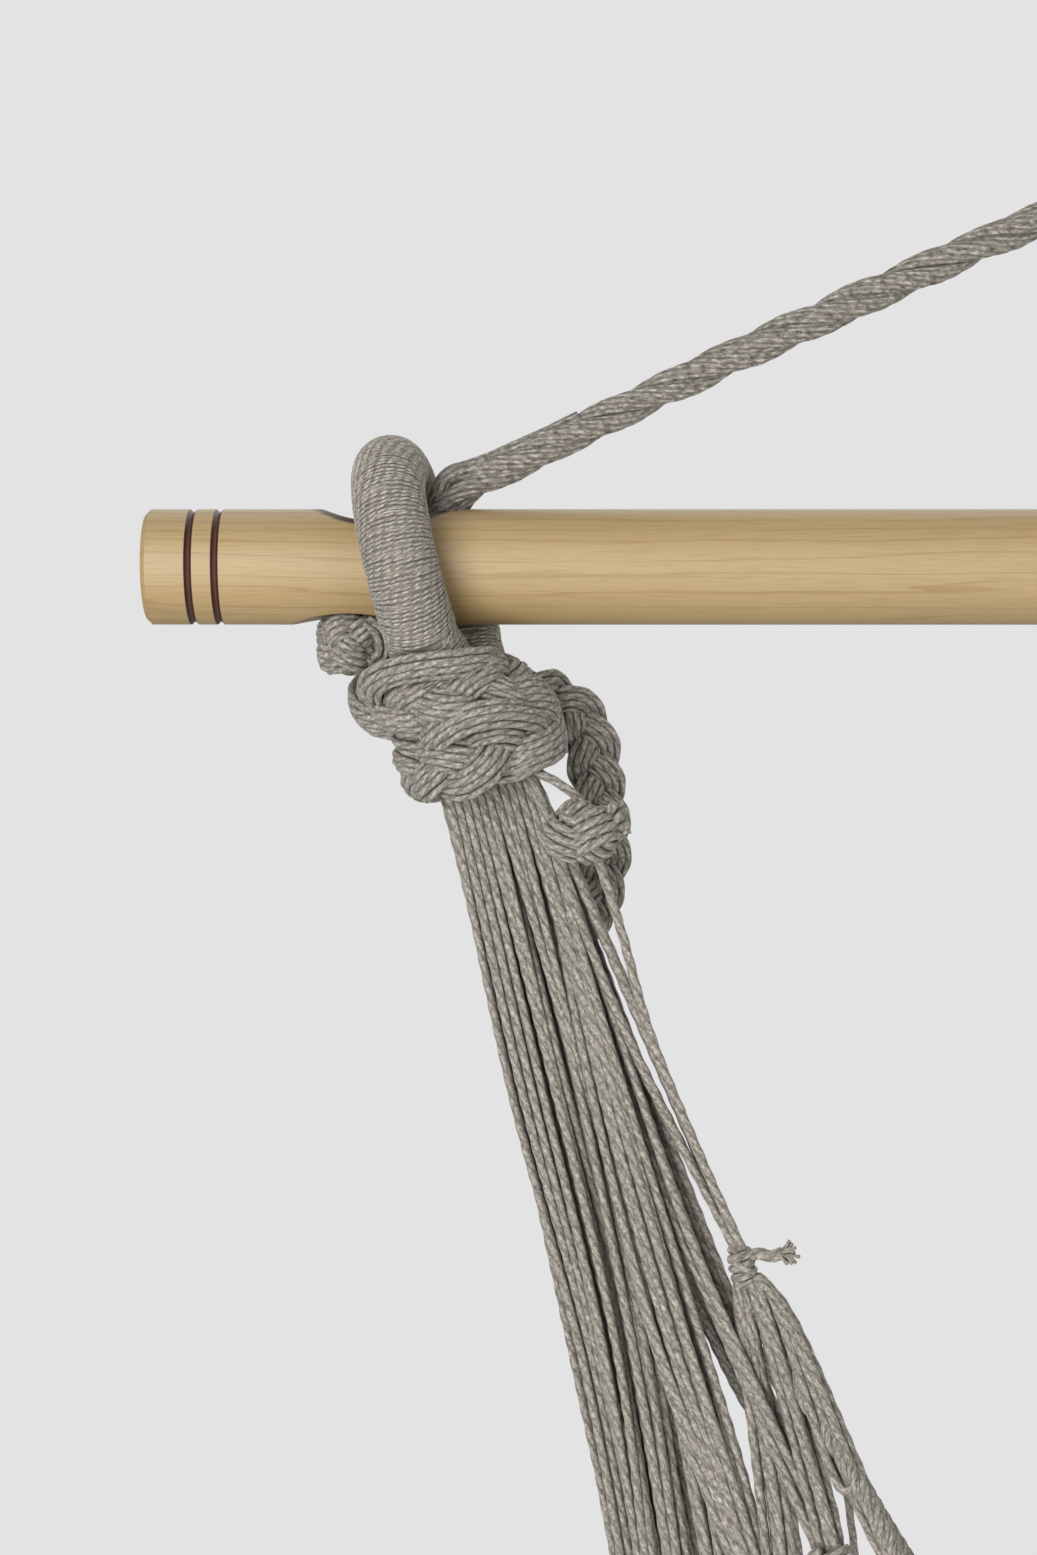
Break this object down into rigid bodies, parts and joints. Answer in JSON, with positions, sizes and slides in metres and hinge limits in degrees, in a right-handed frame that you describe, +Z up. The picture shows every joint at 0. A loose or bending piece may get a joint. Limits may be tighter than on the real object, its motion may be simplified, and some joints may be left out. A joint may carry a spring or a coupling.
{
  "type": "hanging hammock chair",
  "caption": "Hanging hammock chair: a round wooden spreader bar on a rope bridle, with whipped cord eyes, plait knots and a knotted net seat.",
  "frame": {"origin": "where the hook bears, at the inner top of the hanging loop", "axes": "+X along the spreader bar to the sitter's left, -Y the way the sitter faces, +Z up"},
  "size_m": [1.1, 0.4378, 1.4422],
  "materials": {
    "wood": "satin lacquered turned hardwood",
    "rope": "three strand twisted cotton rope",
    "whipping": "close wound cotton thread",
    "cord": "twisted heather cotton cord"
  },
  "bodies": {
    "hanger": {"spreader_bar": "wood", "suspension_rope_left": "rope", "suspension_rope_right": "rope", "stopper_knot_left": "rope", "stopper_knot_right": "rope", "hanging_loop_core": "cord", "hanging_loop_whipping": "whipping", "loop_seizing": "whipping"},
    "seat": {"eye_core_left": "cord", "eye_core_right": "cord", "eye_whipping_left": "whipping", "eye_whipping_right": "whipping", "throat_core_left": "cord", "throat_core_right": "cord", "upper_wrap_left": "cord", "upper_wrap_right": "cord", "lower_wrap_left": "cord", "lower_wrap_right": "cord", "arm_front_left": "cord", "arm_front_right": "cord", "arm_back_left": "cord", "arm_back_right": "cord", "edge_knot_left": "cord", "edge_knot_right": "cord", "edge_lead_left": "cord", "edge_lead_right": "cord", "edge_cord_left": "cord", "edge_cord_right": "cord", "front_tie_left": "cord", "front_tie_right": "cord", "back_tie_left": "cord", "back_tie_right": "cord", "front_fan_left": "cord", "front_fan_right": "cord", "back_fan_left": "cord", "back_fan_right": "cord", "back_stay_left": "cord", "back_stay_right": "cord", "front_stay_left": "cord", "front_stay_right": "cord", "bed_net": "cord", "front_selvedge": "cord", "back_selvedge": "cord"},
    "tail_left": {"plait_tail_left": "cord"},
    "tail_right": {"plait_tail_right": "cord"}
  },
  "joints": [
    {"name": "seat_swing", "type": "hinge", "parent": "hanger", "child": "seat", "pos_m": [0, 0, -0.37621], "axis": [1, 0, 0], "range_deg": [-15, 15]},
    {"name": "tail_left_swing", "type": "hinge", "parent": "seat", "child": "tail_left", "pos_m": [-0.4229, 0.0203, -0.40771], "axis": [0, -1, 0], "range_deg": [-4, 35]},
    {"name": "tail_right_swing", "type": "hinge", "parent": "seat", "child": "tail_right", "pos_m": [0.4229, 0.0203, -0.40771], "axis": [0, 1, 0], "range_deg": [-4, 35]}
  ]
}
